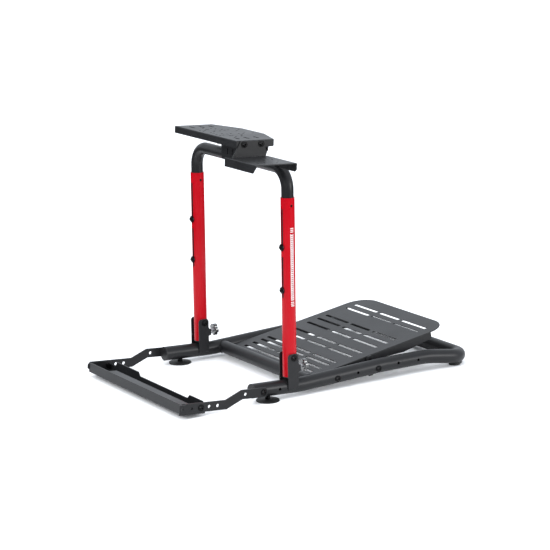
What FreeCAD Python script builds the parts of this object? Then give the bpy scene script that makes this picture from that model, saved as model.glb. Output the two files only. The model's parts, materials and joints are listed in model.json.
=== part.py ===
import FreeCAD, Part
import math
import os
import Sketcher

# Free-standing stand for a racing wheel: a low tube frame with a slotted pedal plate, two uprights
# that fold forwards, a telescopic top bar with a tilting wheel plate and a shifter plate, and a tray
# at the driver's end that catches the casters of a chair.
# Row frame: +X points away from the driver, +Y to the driver's left, +Z up, millimetres.
# The origin lies on the floor, halfway between the uprights and straight below their axes.

Vector = FreeCAD.Vector
X_AXIS = Vector(1, 0, 0)
Y_AXIS = Vector(0, 1, 0)
Z_AXIS = Vector(0, 0, 1)
LEFT = 1
RIGHT = -1
SIDES = (("left", LEFT), ("right", RIGHT))

DIMENSIONS = [
    ("half_track", 247.5, "middle plane to each side rail and upright axis"),
    ("rail_radius", 21, "side rail, outside"),
    ("rail_wall", 2, ""),
    ("rail_front", -127, "driver's end of the side rails"),
    ("rail_front_height", 36.5, ""),
    ("knee_along", 35, "where the rails start to climb"),
    ("knee_height", 29.5, ""),
    ("crest_start", 320, "highest stretch of the rails"),
    ("crest_end", 482, ""),
    ("crest_height", 42, ""),
    ("tail_along", 618, "rear cross run of the same tube"),
    ("tail_height", 25.8, ""),
    ("tail_half", 266, "the rails spread a little behind the crest"),
    ("tail_bend", 48, "bend radius at the rear corners"),
    ("knee_bend", 300, "bend radius of the shallow bends"),
    ("pad_along", 597, "rubber pads under the rear corners"),
    ("pad_half", 240, ""),
    ("pad_length", 54, ""),
    ("pad_width", 34, ""),
    ("pad_turn", 38, "degrees"),
    ("cross_radius", 19, "cross tube behind the uprights"),
    ("cross_along", 73, ""),
    ("cross_height", 31, ""),
    ("foot_along", -74.6, "levelling feet"),
    ("foot_radius", 33.6, ""),
    ("stem_radius", 5, ""),
    ("stem_top", 33, ""),
    ("upright_radius", 20, ""),
    ("upright_wall", 1.5, ""),
    ("upright_low", 61.5, ""),
    ("upright_top", 577.7, ""),
    ("slot_width", 9, "height slots in the uprights"),
    ("upper_slot_low", 424, ""),
    ("upper_slot_top", 548, ""),
    ("lower_slot_low", 290, ""),
    ("lower_slot_top", 410, ""),
    ("upper_bolt", 436.9, "height bolts at rest"),
    ("lower_bolt", 313.5, ""),
    ("fold_height", 117.5, "fold axis of the uprights"),
    ("ear_gap", 21.2, "half the gap between the bracket's ears"),
    ("ear_plate", 3, ""),
    ("ear_front", -19.5, ""),
    ("ear_back", 14.5, ""),
    ("ear_top", 129.5, ""),
    ("ear_low", 28, ""),
    ("ear_corner", 9, ""),
    ("web_inside", 20.4, "bracket web behind the upright"),
    ("web_plate", 2.6, ""),
    ("web_low", 75, ""),
    ("web_top", 98, ""),
    ("knob_height", 86, "lock knob axis"),
    ("knob_radius", 18.5, ""),
    ("knob_front", 42, ""),
    ("knob_thick", 12, ""),
    ("mast_radius", 17.5, "telescopic top bar"),
    ("mast_wall", 2, ""),
    ("mast_low", 280, ""),
    ("mast_top", 656.5, "axis of the top run"),
    ("mast_bend", 57, ""),
    ("bolt_radius", 4, "M8 screws"),
    ("bolt_hole", 4.05, "running hole for an M8 screw"),
    ("clear_hole", 4.3, "clearance hole for an M8 screw"),
    ("head_radius", 7, "button head"),
    ("head_height", 4.4, ""),
    ("washer_radius", 9.5, ""),
    ("washer_thick", 1.6, ""),
    ("height_collar", 3.2, "collars under the height bolts"),
    ("nut_radius", 7.4, "across corners, half"),
    ("nut_thick", 6.5, ""),
    ("tilt_along", 46, "tilt axis of the wheel plate"),
    ("tilt_height", 686, ""),
    ("deck_angle", 3.1, "far side of the wheel plate down, degrees"),
    ("sheet_plate", 3, "sheet thickness of plates and brackets"),
    ("bend_radius", 2.5, "outside radius of folded edges"),
    ("deck_top", 42.7, "wheel plate top above the tilt axis"),
    ("deck_front", -164.7, "wheel plate front edge from the tilt axis"),
    ("deck_side", 123, "length of the plate's sides"),
    ("deck_length", 160, ""),
    ("deck_half", 171, "half the plate's width"),
    ("deck_back_half", 60, "half the width of its back edge"),
    ("deck_flange", 20.2, "depth of its turned-down edges"),
    ("lock_along", -69.1, "tilt lock bolt from the tilt axis"),
    ("lock_up", 18.3, ""),
    ("lock_swing", 9.5, "half the arc of its slot, degrees"),
    ("saddle_half", 60, "outside of the saddle's ears"),
    ("hanger_half", 64.2, "outside of the hanger's ears"),
    ("shifter_top", -3.5, "shifter plate top from the tilt axis"),
    ("shifter_front", -193, ""),
    ("shifter_back", -59, ""),
    ("leg_back", -68, "rear edge of its leg"),
    ("shifter_outside", 319, "outer edge from the middle plane"),
    ("shifter_flange", 25, ""),
    ("shelf_inside", 157, "inner end of its front flange"),
    ("shifter_bolt_up", 32, ""),
    ("shifter_bolt_front", -141.1, ""),
    ("shifter_bolt_back", -85.3, ""),
    ("pedal_front", 99.8, "front edge of the pedal plate"),
    ("pedal_height", 36.3, ""),
    ("pedal_angle", 9.43, "degrees"),
    ("pedal_half", 221, ""),
    ("pedal_length", 493.5, ""),
    ("pedal_side", 425, "length of its straight sides"),
    ("pedal_slot", 11, "slot width"),
    ("pedal_sheet", 2, "sheet thickness of the pedal plate"),
    ("hole_first", 151.4, "first adjustment hole of the rails"),
    ("hole_pitch", 71.9, ""),
    ("pedal_pivot_height", 32.3, ""),
    ("brace_hole_height", 57, "pin between pedal plate and brace"),
    ("brace_clamp_height", 39, ""),
    ("brace_inside", 223.1, "inner face of the brace"),
    ("brace_plate", 3, ""),
    ("brace_half", 11, "half its width"),
    ("strap_pivot", -104, "bolt that carries the chair lock"),
    ("strap_pivot_height", 35.2, ""),
    ("strap_angle", 4.2, "tray end up, degrees"),
    ("strap_half", 13.5, "half the height of the flat bar"),
    ("strap_plate", 5, ""),
    ("strap_gap", 0.6, "strap to rail"),
    ("strap_drop", 23.7, ""),
    ("tray_front", -267, "tray front face from the strap bolt"),
    ("tray_back", -196, ""),
    ("tray_low", -40.4, ""),
    ("tray_top", -11.3, ""),
    ("tray_bolt", -206, ""),
    ("tray_lip", 27, "flange turned in from the top of the tray's front wall"),
    ("strap_hole_pitch", 27, ""),
]

os.makedirs("parts", exist_ok=True)
doc = FreeCAD.newDocument("WheelStand")
sheet = doc.addObject("Spreadsheet::Sheet", "dim")
for line, (alias, number, note) in enumerate(DIMENSIONS, start=1):
    sheet.set(f"A{line}", alias)
    sheet.set(f"B{line}", str(number))
    sheet.setAlias(f"B{line}", alias)
    if note:
        sheet.set(f"C{line}", note)
doc.recompute()

nodes = []
base_washers = []
base_nuts = []


def number_of(expression):
    """The value of an expression over the sheet's cells."""
    result = sheet.evalExpression(str(expression))
    return float(getattr(result, "Value", result))


def bind(item, **expressions):
    for prop, expression in expressions.items():
        item.setExpression(prop, str(expression))


def place(item, at=(0, 0, 0), rotation=None, angle=None):
    """Put an object at three expressions; angle turns it about the rotation's axis by an expression."""
    if rotation is not None:
        item.Placement = FreeCAD.Placement(Vector(0, 0, 0), rotation)
    for letter, expression in zip("xyz", at):
        item.setExpression(f"Placement.Base.{letter}", str(expression))
    if angle is not None:
        item.setExpression("Placement.Rotation.Angle", str(angle))


def node(item, label):
    """Name a finished sub-part; its label names its file."""
    item.Label = label
    nodes.append(item)
    return item


def turn_to(axis):
    return FreeCAD.Rotation(Z_AXIS, axis)


def cylinder(name, radius, height, at, axis=Z_AXIS):
    item = doc.addObject("Part::Cylinder", name)
    bind(item, Radius=radius, Height=height)
    place(item, at, turn_to(axis))
    return item


def cone(name, radius, top_radius, height, at, axis=Z_AXIS):
    item = doc.addObject("Part::Cone", name)
    bind(item, Radius1=radius, Radius2=top_radius, Height=height)
    place(item, at, turn_to(axis))
    return item


def prism(name, radius, height, at, axis=Z_AXIS):
    item = doc.addObject("Part::Prism", name)
    item.Polygon = 6
    bind(item, Circumradius=radius, Height=height)
    place(item, at, turn_to(axis))
    return item


def block(name, sizes, at):
    item = doc.addObject("Part::Box", name)
    bind(item, Length=sizes[0], Width=sizes[1], Height=sizes[2])
    place(item, at)
    return item


def fuse(name, items):
    item = doc.addObject("Part::MultiFuse", name)
    item.Shapes = items
    return item


def cut(name, base, tools):
    item = doc.addObject("Part::Cut", name)
    item.Base = base
    item.Tool = tools[0] if len(tools) == 1 else fuse(name + "_tools", tools)
    return item


def group(name, items):
    item = doc.addObject("Part::Compound", name)
    item.Links = items
    return item


def upright_slot(name, at, low, top, depth, width):
    """A tool for a vertical slot with round ends that is cut along +X."""
    half = f"({width}) / 2"
    middle = block(name + "_middle", (depth, width, f"({top}) - ({low}) - ({width})"),
                   (at[0], f"({at[1]}) - {half}", f"({low}) + {half}"))
    ends = [cylinder(name + "_low", half, depth, (at[0], at[1], f"({low}) + {half}"), X_AXIS),
            cylinder(name + "_top", half, depth, (at[0], at[1], f"({top}) - {half}"), X_AXIS)]
    return [middle] + ends


# --- PartDesign helpers -------------------------------------------------------------------------

def new_body(name):
    return doc.addObject("PartDesign::Body", name)


def new_sketch(body, name, role):
    sketch = body.newObject("Sketcher::SketchObject", name)
    plane = [feature for feature in body.Origin.OriginFeatures if feature.Role == role][0]
    sketch.AttachmentSupport = [(plane, "")]
    sketch.MapMode = "FlatFace"
    return sketch


def hold(sketch, kind, point, expression):
    """Fix one coordinate of a point (geometry index, point index) from the sketch's origin."""
    constraint = Sketcher.Constraint(kind, -1, 1, point[0], point[1], number_of(expression))
    index = sketch.addConstraint(constraint)
    sketch.setExpression(f"Constraints[{index}]", str(expression))


def add_outline(sketch, points):
    """A closed outline through pairs of expressions, each corner held by its two coordinates."""
    corners = [Vector(number_of(x), number_of(y), 0) for x, y in points]
    first = sketch.GeometryCount
    count = len(corners)
    for index in range(count):
        sketch.addGeometry(Part.LineSegment(corners[index], corners[(index + 1) % count]))
    for index in range(count):
        following = first + (index + 1) % count
        sketch.addConstraint(Sketcher.Constraint("Coincident", first + index, 2, following, 1))
    for index, (x, y) in enumerate(points):
        hold(sketch, "DistanceX", (first + index, 1), x)
        hold(sketch, "DistanceY", (first + index, 1), y)


def add_circle(sketch, x, y, radius):
    centre = Vector(number_of(x), number_of(y), 0)
    index = sketch.addGeometry(Part.Circle(centre, Z_AXIS, number_of(radius)))
    hold(sketch, "DistanceX", (index, 3), x)
    hold(sketch, "DistanceY", (index, 3), y)
    size = sketch.addConstraint(Sketcher.Constraint("Radius", index, number_of(radius)))
    sketch.setExpression(f"Constraints[{size}]", str(radius))


def add_slot(sketch, x, low, top, radius):
    """A slot along the sketch's second axis from low to top, ends included."""
    middle = number_of(x)
    size = number_of(radius)
    bottom = Vector(middle, number_of(low) + size, 0)
    summit = Vector(middle, number_of(top) - size, 0)
    across = Vector(size, 0, 0)
    first = sketch.addGeometry(Part.LineSegment(bottom + across, summit + across))
    sketch.addGeometry(Part.ArcOfCircle(Part.Circle(summit, Z_AXIS, size), 0, math.pi))
    sketch.addGeometry(Part.LineSegment(summit - across, bottom - across))
    sketch.addGeometry(Part.ArcOfCircle(Part.Circle(bottom, Z_AXIS, size), math.pi, 2 * math.pi))
    joins = ((0, 2, 1, 1), (1, 2, 2, 1), (2, 2, 3, 1), (3, 2, 0, 1))
    for one, end, other, start in joins:
        sketch.addConstraint(Sketcher.Constraint("Tangent", first + one, end, first + other, start))
    hold(sketch, "DistanceX", (first + 1, 3), x)
    hold(sketch, "DistanceX", (first + 3, 3), x)
    hold(sketch, "DistanceY", (first + 1, 3), f"({top}) - ({radius})")
    hold(sketch, "DistanceY", (first + 3, 3), f"({low}) + ({radius})")


def pad(body, name, sketch, length, midplane=False, reverse=False):
    feature = body.newObject("PartDesign::Pad", name)
    feature.Profile = sketch
    feature.setExpression("Length", str(length))
    feature.Midplane = midplane
    feature.Reversed = reverse
    body.Tip = feature
    doc.recompute()
    return feature


def pocket(body, name, sketch, reverse=False):
    """Cut a profile through everything on both sides of its plane."""
    before = body.Shape.Volume
    feature = body.newObject("PartDesign::Pocket", name)
    feature.Profile = sketch
    feature.Type = 1
    feature.Midplane = True
    feature.Reversed = reverse
    body.Tip = feature
    doc.recompute()
    if body.Shape.Volume > before - 0.5:
        raise RuntimeError(name + " cuts nothing")
    return feature


def round_edges(body, name, wanted, radius):
    """Fillet the edges of the body's tip whose middle point passes the test."""
    base = body.Tip
    chosen = [f"Edge{index}" for index, edge in enumerate(base.Shape.Edges, start=1)
              if wanted(edge, edge.BoundBox.Center)]
    if not chosen:
        raise RuntimeError(name + " finds no edge")
    feature = body.newObject("PartDesign::Fillet", name)
    feature.Base = (base, chosen)
    feature.setExpression("Radius", str(radius))
    body.Tip = feature
    doc.recompute()
    return feature


def runs_along(edge, axis):
    span = edge.BoundBox
    lengths = {"x": span.XLength, "y": span.YLength, "z": span.ZLength}
    longest = lengths.pop(axis)
    return longest > 0.5 and max(lengths.values()) < 0.01


# --- bent tubes ---------------------------------------------------------------------------------

def bend_path(corners, radii):
    """Straight edges joined by tangent arcs of the given radii at the inner corners."""
    edges = []
    start = corners[0]
    for before, corner, after, radius in zip(corners, corners[1:], corners[2:], radii):
        towards = (before - corner).normalize()
        away = (after - corner).normalize()
        half_turn = (math.pi - towards.getAngle(away)) / 2
        reach = radius * math.tan(half_turn)
        arc_start = corner + towards * reach
        arc_end = corner + away * reach
        inwards = (towards + away).normalize()
        middle = corner + inwards * (radius / math.cos(half_turn) - radius)
        edges.append(Part.LineSegment(start, arc_start).toShape())
        edges.append(Part.Arc(arc_start, middle, arc_end).toShape())
        start = arc_end
    edges.append(Part.LineSegment(start, corners[-1]).toShape())
    return edges


def run_solid(edge, radius):
    """The round bar that follows one straight or circular edge."""
    start = edge.valueAt(edge.FirstParameter)
    tangent = edge.tangentAt(edge.FirstParameter)
    if isinstance(edge.Curve, Part.Line):
        return Part.makeCylinder(radius, edge.Length, start, tangent)
    disc = Part.Face(Part.Wire(Part.Circle(start, tangent, radius).toShape()))
    circle = edge.Curve
    angle = math.degrees(edge.Length / circle.Radius)
    solid = disc.revolve(circle.Center, circle.Axis, angle)
    end = edge.valueAt(edge.LastParameter)
    if solid.distToShape(Part.Vertex(end))[0] > 0.01:
        solid = disc.revolve(circle.Center, circle.Axis, -angle)
    return solid


def bent_bar(edges, radius):
    solid = run_solid(edges[0], radius)
    return solid.multiFuse([run_solid(edge, radius) for edge in edges[1:]]).removeSplitter()


def tube_feature(name, shape):
    item = doc.addObject("Part::Feature", name)
    item.Shape = shape
    item.Placement = FreeCAD.Placement()
    return item


# --- fasteners ----------------------------------------------------------------------------------

def button_screw(name, at, axis, length):
    """An M8 button-head screw: at is the seat of its head, axis points from the head down its shank."""
    seat = [str(part) for part in at]
    back = axis * -1
    head = cone(name + "_head", "dim.head_radius", "dim.head_radius * 0.62", "dim.head_height", seat, back)
    shank = cylinder(name + "_shank", "dim.bolt_radius", length, seat, axis)
    top = [f"({start}) + ({step}) * dim.head_height"
           for start, step in zip(seat, (back.x, back.y, back.z))]
    socket = prism(name + "_socket", 2.6, 2.6, top, axis)
    return cut(name, fuse(name + "_body", [head, shank]), [socket])


def washer(name, at, axis, thickness="dim.washer_thick"):
    ring = cylinder(name + "_disc", "dim.washer_radius", thickness, at, axis)
    hole = cylinder(name + "_hole", "dim.bolt_hole", thickness, at, axis)
    return cut(name, ring, [hole])


def nut(name, at, axis):
    body = prism(name + "_prism", "dim.nut_radius", "dim.nut_thick", at, axis)
    hole = cylinder(name + "_hole", "dim.bolt_hole", "dim.nut_thick", at, axis)
    return cut(name, body, [hole])


# --- base ---------------------------------------------------------------------------------------

def rail_height(along):
    """Height of the side rail's axis, as an expression, at an expression along X ahead of the crest."""
    rise = "(dim.crest_height - dim.knee_height) / (dim.crest_start - dim.knee_along)"
    return f"dim.knee_height + (({along}) - dim.knee_along) * {rise}"


def front_height(along):
    rise = "(dim.knee_height - dim.rail_front_height) / (dim.knee_along - dim.rail_front)"
    return f"dim.rail_front_height + (({along}) - dim.rail_front) * {rise}"


def rail_holes():
    """Five adjustment holes in each side rail, a spare one near the uprights and the strap hole."""
    tools = []
    for side_name, side in SIDES:
        inner = f"{side} * (dim.half_track - dim.rail_radius - 1)"
        for index in range(5):
            along = f"dim.hole_first + {index} * dim.hole_pitch"
            height = rail_height(along)
            if index > 3:
                height = "dim.crest_height"
            if index == 0:
                height = "dim.pedal_pivot_height"
            if index == 2:
                height = "dim.brace_clamp_height"
            tools.append(cylinder(f"rail_hole_{side_name}_{index}", "dim.clear_hole",
                                  "dim.rail_radius * 2 + 2", (along, inner, height), Y_AXIS * side))
        outer = f"{side} * dim.half_track"
        for label, along in (("spare", "-46"), ("strap", "dim.strap_pivot")):
            height = front_height(along) if label == "spare" else "dim.strap_pivot_height"
            tools.append(cylinder(f"rail_{label}_{side_name}", "dim.clear_hole", "dim.rail_radius + 1",
                                  (along, outer, height), Y_AXIS * side))
        tools.append(cylinder(f"rail_stem_{side_name}", "dim.stem_radius + 0.06", "dim.rail_front_height",
                              ("dim.foot_along", outer, 0)))
    return tools


def make_base_frame():
    half = number_of("dim.half_track")
    profile = [("rail_front", "rail_front_height"), ("knee_along", "knee_height"),
               ("crest_start", "crest_height"), ("crest_end", "crest_height"),
               ("tail_along", "tail_height")]
    right = [Vector(number_of("dim." + along), -half, number_of("dim." + height))
             for along, height in profile]
    right[-1].y = -number_of("dim.tail_half")
    left = [Vector(corner.x, -corner.y, corner.z) for corner in reversed(right)]
    gentle = number_of("dim.knee_bend")
    tight = number_of("dim.tail_bend")
    path = bend_path(right + left, [gentle] * 3 + [tight] * 2 + [gentle] * 3)
    outside = bent_bar(path, number_of("dim.rail_radius"))
    inside = bent_bar(path, number_of("dim.rail_radius - dim.rail_wall"))
    tube = tube_feature("base_tube", outside.cut(inside))
    node(cut("base_frame_cut", tube, rail_holes()), "base_frame")
    return tube_feature("rail_solid", outside)


def make_cross_tube(rail_solid):
    run = ("dim.cross_along", "-dim.half_track", "dim.cross_height")
    bar = cylinder("cross_bar", "dim.cross_radius", "dim.half_track * 2", run, Y_AXIS)
    bore = cylinder("cross_bore", "dim.cross_radius - dim.rail_wall", "dim.half_track * 2", run, Y_AXIS)
    node(cut("cross_tube", bar, [bore, rail_solid]), "front_cross_tube")


def make_fold_bracket(side_name, side, rail_solid):
    body = new_body(f"bracket_{side_name}")
    profile = new_sketch(body, f"bracket_{side_name}_profile", "XZ_Plane")
    back = "dim.web_inside + dim.web_plate"
    edge = "dim.ear_back"
    add_outline(profile, [("dim.ear_front", "dim.ear_low"), (edge, "dim.ear_low"), (edge, "dim.web_low"),
                          (back, "dim.web_low + 3"), (back, "dim.web_top - 3"), (edge, "dim.web_top"),
                          (edge, "dim.ear_top"), ("dim.ear_front", "dim.ear_top")])
    pad(body, f"bracket_{side_name}_pad", profile, "2 * (dim.ear_gap + dim.ear_plate)", midplane=True)
    top = number_of("dim.ear_top")
    round_edges(body, f"bracket_{side_name}_corners",
                lambda edge, middle: runs_along(edge, "y") and abs(middle.z - top) < 0.1,
                "dim.ear_corner")
    inside = new_sketch(body, f"bracket_{side_name}_inside", "XY_Plane")
    add_outline(inside, [("dim.ear_front - 5", "-dim.ear_gap"), ("dim.web_inside", "-dim.ear_gap"),
                         ("dim.web_inside", "dim.ear_gap"), ("dim.ear_front - 5", "dim.ear_gap")])
    pocket(body, f"bracket_{side_name}_room", inside)
    stud = new_sketch(body, f"bracket_{side_name}_stud", "YZ_Plane")
    add_circle(stud, 0, "dim.knob_height", "dim.clear_hole")
    pocket(body, f"bracket_{side_name}_stud_hole", stud)
    pivot = new_sketch(body, f"bracket_{side_name}_pivot", "XZ_Plane")
    add_circle(pivot, 0, "dim.fold_height", "dim.bolt_hole")
    pocket(body, f"bracket_{side_name}_pivot_hole", pivot)
    place(body, (0, f"{side} * dim.half_track", 0))
    node(cut(f"bracket_{side_name}_coped", body, [rail_solid]), f"fold_bracket_{side_name}")
    base_nuts.append(nut(f"knob_nut_{side_name}", (back, f"{side} * dim.half_track", "dim.knob_height"),
                         X_AXIS))


def make_end_cap(side_name, side):
    """A plastic plug in the driver's end of a side rail, square to the rail."""
    slope = math.degrees(math.atan(number_of(
        "(dim.rail_front_height - dim.knee_height) / (dim.knee_along - dim.rail_front)")))
    rim = cylinder(f"cap_rim_{side_name}", "dim.rail_radius", 3, (0, 0, -3))
    stem = cylinder(f"cap_stem_{side_name}", "dim.rail_radius - dim.rail_wall - 0.1", 14, (0, 0, 0))
    cap = fuse(f"cap_{side_name}", [rim, stem])
    place(cap, ("dim.rail_front", f"{side} * dim.half_track", "dim.rail_front_height"),
          FreeCAD.Rotation(Y_AXIS, 90 + slope))
    node(cap, f"end_cap_{side_name}")


def make_rear_foot(side_name, side, rail_solid):
    """A rubber pad under the rear bend, hollowed to sit on the round tube."""
    length = number_of("dim.pad_length")
    width = number_of("dim.pad_width")
    block_shape = Part.makeBox(length, width, number_of("dim.tail_height - 6"),
                               Vector(-length / 2, -width / 2, 0))
    uprights = [edge for edge in block_shape.Edges if runs_along(edge, "z")]
    block_shape = block_shape.makeFillet(number_of("dim.pad_width * 0.42"), uprights)
    bottom = [edge for edge in block_shape.Edges if edge.BoundBox.ZMax < 0.01]
    pad_item = tube_feature(f"rear_pad_{side_name}", block_shape.makeFillet(2.5, bottom))
    turn = FreeCAD.Rotation(Z_AXIS, -side * number_of("dim.pad_turn"))
    place(pad_item, ("dim.pad_along", f"{side} * dim.pad_half", 0), turn)
    node(cut(f"rear_pad_{side_name}_coped", pad_item, [rail_solid]), f"rear_foot_{side_name}")


def make_fold_bolts():
    bolts = []
    outside = "(dim.ear_gap + dim.ear_plate)"
    for side_name, side in SIDES:
        middle = f"{side} * dim.half_track"
        face = f"{middle} - {outside}"
        far_face = f"{middle} + {outside}"
        bolts.append(button_screw(f"fold_bolt_{side_name}", (0, f"{face} - dim.washer_thick", "dim.fold_height"),
                                  Y_AXIS, f"2 * {outside} + 2 * dim.washer_thick + dim.nut_thick + 1"))
        base_washers.append(washer(f"fold_washer_{side_name}", (0, face, "dim.fold_height"), Y_AXIS * -1))
        base_washers.append(washer(f"fold_washer_far_{side_name}", (0, far_face, "dim.fold_height"), Y_AXIS))
        base_nuts.append(nut(f"fold_nut_{side_name}", (0, f"{far_face} + dim.washer_thick", "dim.fold_height"),
                             Y_AXIS))
    node(group("fold_bolt_group", bolts), "fold_bolts")


def make_rail_fasteners():
    """Screws through the rails that carry the pedal plate and clamp its braces."""
    pivots = []
    clamps = []
    spacers = []
    brace_along = "dim.hole_first + 2 * dim.hole_pitch"
    outer = "(dim.half_track + dim.rail_radius + 0.05)"
    inner = "(dim.half_track - dim.rail_radius - 0.05)"
    flange = "(dim.pedal_half - dim.pedal_sheet - 0.4)"
    for side_name, side in SIDES:
        out = Y_AXIS * side
        into = Y_AXIS * -side
        head_seat = f"{side} * ({outer} + dim.washer_thick)"
        reach = f"{outer} + dim.washer_thick - {flange} + dim.nut_thick + 1"
        pivots.append(button_screw(f"pedal_pivot_{side_name}",
                                   ("dim.hole_first", head_seat, "dim.pedal_pivot_height"), into, reach))
        reach = f"{outer} + dim.washer_thick - dim.brace_inside + dim.nut_thick + 1"
        clamps.append(button_screw(f"brace_clamp_{side_name}",
                                   (brace_along, head_seat, "dim.brace_clamp_height"), into, reach))
        for label, along, height in (("pivot", "dim.hole_first", "dim.pedal_pivot_height"),
                                     ("clamp", brace_along, "dim.brace_clamp_height")):
            base_washers.append(washer(f"{label}_ring_{side_name}", (along, f"{side} * {outer}", height), out))
        start = ("dim.hole_first", f"{side} * {inner}", "dim.pedal_pivot_height")
        tube = cylinder(f"spacer_tube_{side_name}", 7, f"{inner} - dim.pedal_half - 0.4", start, into)
        bore = cylinder(f"spacer_bore_{side_name}", "dim.bolt_hole", 10, start, into)
        spacers.append(cut(f"spacer_{side_name}", tube, [bore]))
        base_nuts.append(nut(f"pivot_nut_{side_name}",
                             ("dim.hole_first", f"{side} * {flange}", "dim.pedal_pivot_height"), into))
        base_nuts.append(nut(f"clamp_nut_{side_name}",
                             (brace_along, f"{side} * (dim.brace_inside - 0.35)", "dim.brace_clamp_height"), into))
    node(group("pedal_pivot_group", pivots), "pedal_pivot_bolts")
    node(group("brace_clamp_group", clamps), "brace_clamp_bolts")
    node(group("spacer_group", spacers), "pedal_spacers")


def make_levelling_foot(side_name, side):
    """A threaded stem with a wide swivel disc, screwed into the underside of a rail."""
    at = ("dim.foot_along", f"{side} * dim.half_track", 0)
    rim = cylinder(f"foot_rim_{side_name}", "dim.foot_radius", 3, at)
    slope = cone(f"foot_slope_{side_name}", "dim.foot_radius", 12, 3, (at[0], at[1], 3))
    sole = fuse(f"foot_sole_{side_name}", [rim, slope])
    socket = cylinder(f"foot_socket_{side_name}", "dim.stem_radius", 7, (at[0], at[1], 2))
    node(cut(f"foot_disc_{side_name}", sole, [socket]), f"levelling_foot_{side_name}")
    stem = cylinder(f"stem_rod_{side_name}", "dim.stem_radius", "dim.stem_top - 2", (at[0], at[1], 2))
    hexagon = prism(f"stem_hex_{side_name}", 8.5, 6, (at[0], at[1], 6.1))
    node(fuse(f"stem_{side_name}", [stem, hexagon]), f"foot_stem_{side_name}")


def make_star_knob(side_name, side):
    """A five-lobed head on a stud that presses the upright through the bracket's web."""
    lobes = 5
    radius = number_of("dim.knob_radius")
    axis_y = side * number_of("dim.half_track")
    axis_z = number_of("dim.knob_height")
    body = new_body(f"knob_{side_name}")
    profile = new_sketch(body, f"knob_{side_name}_profile", "YZ_Plane")
    add_circle(profile, 0, 0, "dim.knob_radius")
    pad(body, f"knob_{side_name}_pad", profile, "dim.knob_thick")
    notches = new_sketch(body, f"knob_{side_name}_notches", "YZ_Plane")
    for index in range(lobes):
        angle = 360 / lobes * index
        add_circle(notches, f"(dim.knob_radius + 3.5) * cos({angle} deg)",
                   f"(dim.knob_radius + 3.5) * sin({angle} deg)", "dim.knob_radius * 0.4")
    pocket(body, f"knob_{side_name}_grip", notches)
    thickness = number_of("dim.knob_thick")
    round_edges(body, f"knob_{side_name}_soft",
                lambda edge, middle: edge.BoundBox.XLength < 0.01, 2)
    bore = new_sketch(body, f"knob_{side_name}_bore", "YZ_Plane")
    add_circle(bore, 0, 0, "dim.bolt_radius + 2.5")
    hole = body.newObject("PartDesign::Pocket", f"knob_{side_name}_socket")
    hole.Profile = bore
    hole.Length = thickness * 0.7
    hole.Reversed = True
    body.Tip = hole
    place(body, ("dim.knob_front", f"{side} * dim.half_track", "dim.knob_height"))
    node(body, f"star_knob_{side_name}")
    reach = cylinder(f"stud_rod_{side_name}", "dim.bolt_radius", "dim.knob_front - dim.web_inside - 0.2",
                     ("dim.web_inside + 0.2", axis_y, axis_z), X_AXIS)
    collar = cylinder(f"stud_collar_{side_name}", "dim.bolt_radius + 2.5", 5 + thickness * 0.7,
                      ("dim.knob_front - 5", axis_y, axis_z), X_AXIS)
    node(fuse(f"stud_{side_name}", [reach, collar]), f"knob_stud_{side_name}")


# --- uprights -----------------------------------------------------------------------------------

def make_upright(side_name, side):
    at = (0, f"{side} * dim.half_track", "dim.upright_low")
    middle = f"{side} * dim.half_track"
    length = "dim.upright_top - dim.upright_low"
    bar = cylinder(f"upright_bar_{side_name}", "dim.upright_radius", length, at)
    tools = [cylinder(f"upright_bore_{side_name}", "dim.upright_radius - dim.upright_wall", length, at)]
    for label in ("upper", "lower"):
        tools += upright_slot(f"{label}_slot_{side_name}", ("-dim.upright_radius - 1", middle),
                              f"dim.{label}_slot_low", f"dim.{label}_slot_top",
                              "dim.upright_radius", "dim.slot_width")
    tools.append(cylinder(f"upright_pivot_{side_name}", 6.05, "dim.upright_radius * 2 + 2",
                          (0, f"{middle} - dim.upright_radius - 1", "dim.fold_height"), Y_AXIS))
    tools.append(cylinder(f"upright_screw_{side_name}", 2.1, "dim.upright_radius + 1",
                          (0, middle, "dim.upright_top - 22"), Y_AXIS * -1))
    node(cut(f"upright_tube_{side_name}", bar, tools), f"upright_{side_name}")

    sleeve = cylinder(f"sleeve_bar_{side_name}", 6, "dim.ear_gap * 2 - 0.8",
                      (0, f"{middle} - dim.ear_gap + 0.4", "dim.fold_height"), Y_AXIS)
    bore = cylinder(f"sleeve_bore_{side_name}", "dim.bolt_hole", "dim.ear_gap * 2",
                    (0, f"{middle} - dim.ear_gap", "dim.fold_height"), Y_AXIS)
    node(cut(f"sleeve_{side_name}", sleeve, [bore]), f"pivot_sleeve_{side_name}")

    rim = cylinder(f"plug_rim_{side_name}", "dim.upright_radius", 2.5,
                   (0, middle, "dim.upright_low - 2.5"))
    stem = cylinder(f"plug_stem_{side_name}", "dim.upright_radius - dim.upright_wall - 0.1", 14,
                    (0, middle, "dim.upright_low"))
    node(fuse(f"plug_{side_name}", [rim, stem]), f"upright_plug_{side_name}")

    bush_low = "dim.upright_top - 26"
    bush = cylinder(f"bush_bar_{side_name}", "dim.upright_radius - dim.upright_wall - 0.02", 26,
                    (0, middle, bush_low))
    passage = cylinder(f"bush_bore_{side_name}", "dim.mast_radius + 0.08", 26, (0, middle, bush_low))
    seat = cylinder(f"bush_seat_{side_name}", 2.1, "dim.upright_radius + 1",
                    (0, middle, "dim.upright_top - 22"), Y_AXIS * -1)
    node(cut(f"bush_{side_name}", bush, [passage, seat]), f"mast_bush_{side_name}")

    face = f"{middle} - dim.upright_radius"
    head = cone(f"grub_head_{side_name}", 3.6, 2.2, 1.6, (0, face, "dim.upright_top - 22"), Y_AXIS * -1)
    shank = cylinder(f"grub_shank_{side_name}", 2, "dim.upright_radius - dim.mast_radius - 0.15",
                     (0, face, "dim.upright_top - 22"), Y_AXIS)
    return fuse(f"grub_{side_name}", [head, shank])


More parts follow.
